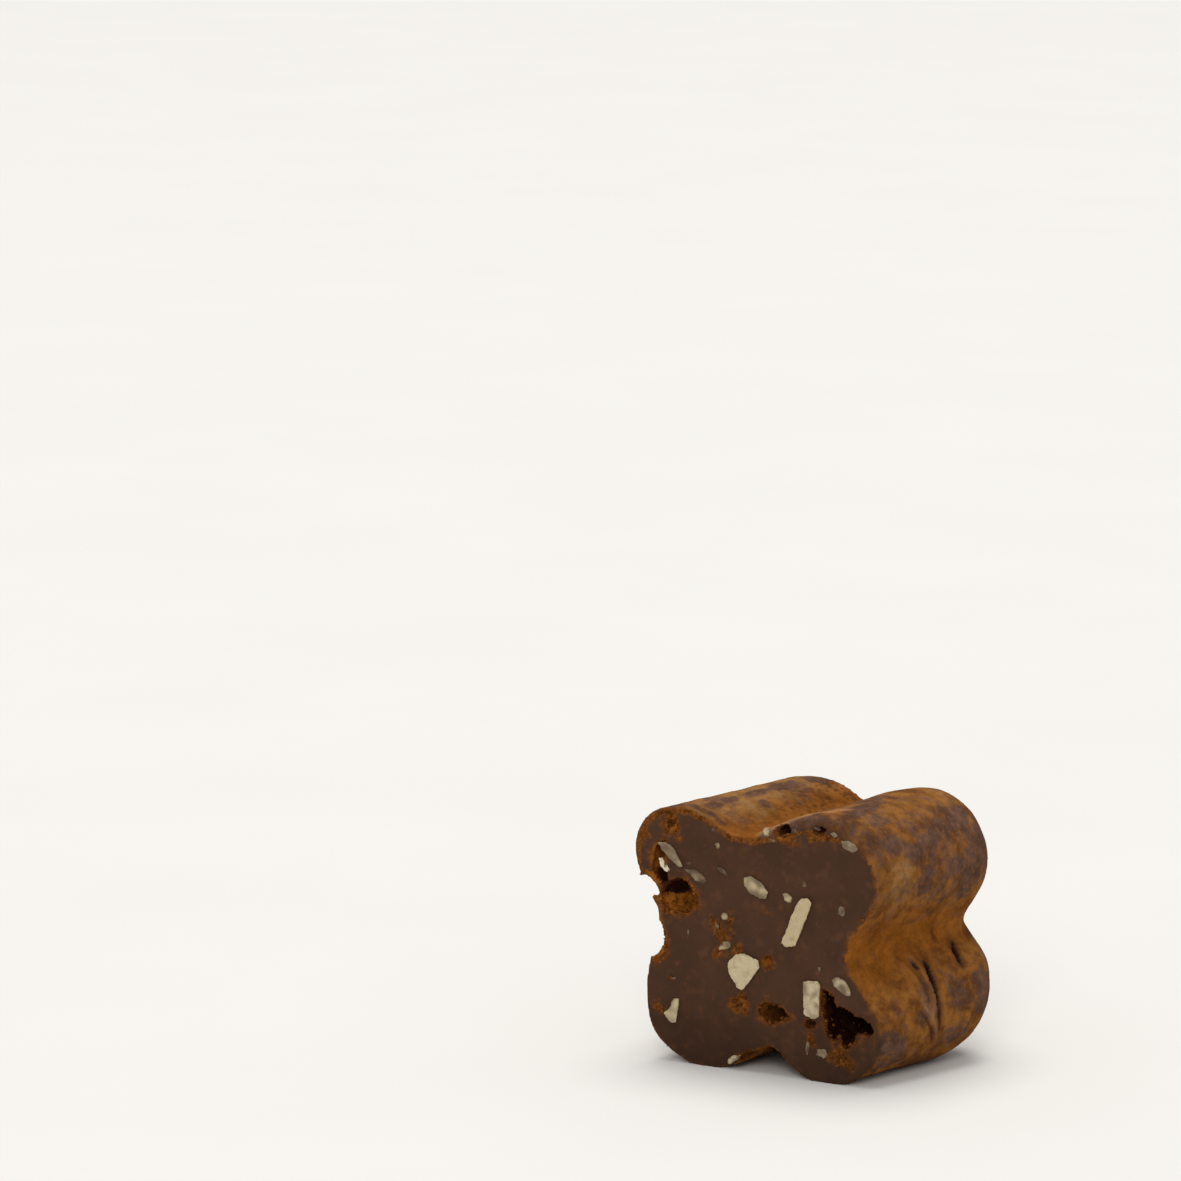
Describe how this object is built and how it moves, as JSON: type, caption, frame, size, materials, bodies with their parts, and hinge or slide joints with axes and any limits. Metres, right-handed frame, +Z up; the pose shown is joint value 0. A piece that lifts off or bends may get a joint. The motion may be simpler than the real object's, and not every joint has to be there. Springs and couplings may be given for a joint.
{
  "type": "chocolate truffle",
  "caption": "Cut piece of a four-lobed chocolate truffle dusted with cocoa, with chopped nuts and small hollows in its flat cut end.",
  "frame": {"origin": "centre of the bounding box at its bottom, on the surface that the piece rests on", "axes": "+X across the cut end, to the right as one looks at it; +Y along the bar from the cut end to the rounded uncut end; +Z up"},
  "size_m": [0.0206, 0.0188, 0.0195],
  "materials": {
    "cocoa": "dry cocoa powder over chocolate, matte and uneven, orange-brown with bare grey-brown patches",
    "ganache": "fresh cut through firm chocolate paste, dark brown, smooth with a faint fatty sheen",
    "nut": "chopped hazelnut, pale cream, dry and slightly grainy"
  },
  "bodies": {
    "root": {"truffle": "cocoa"}
  },
  "joints": []
}
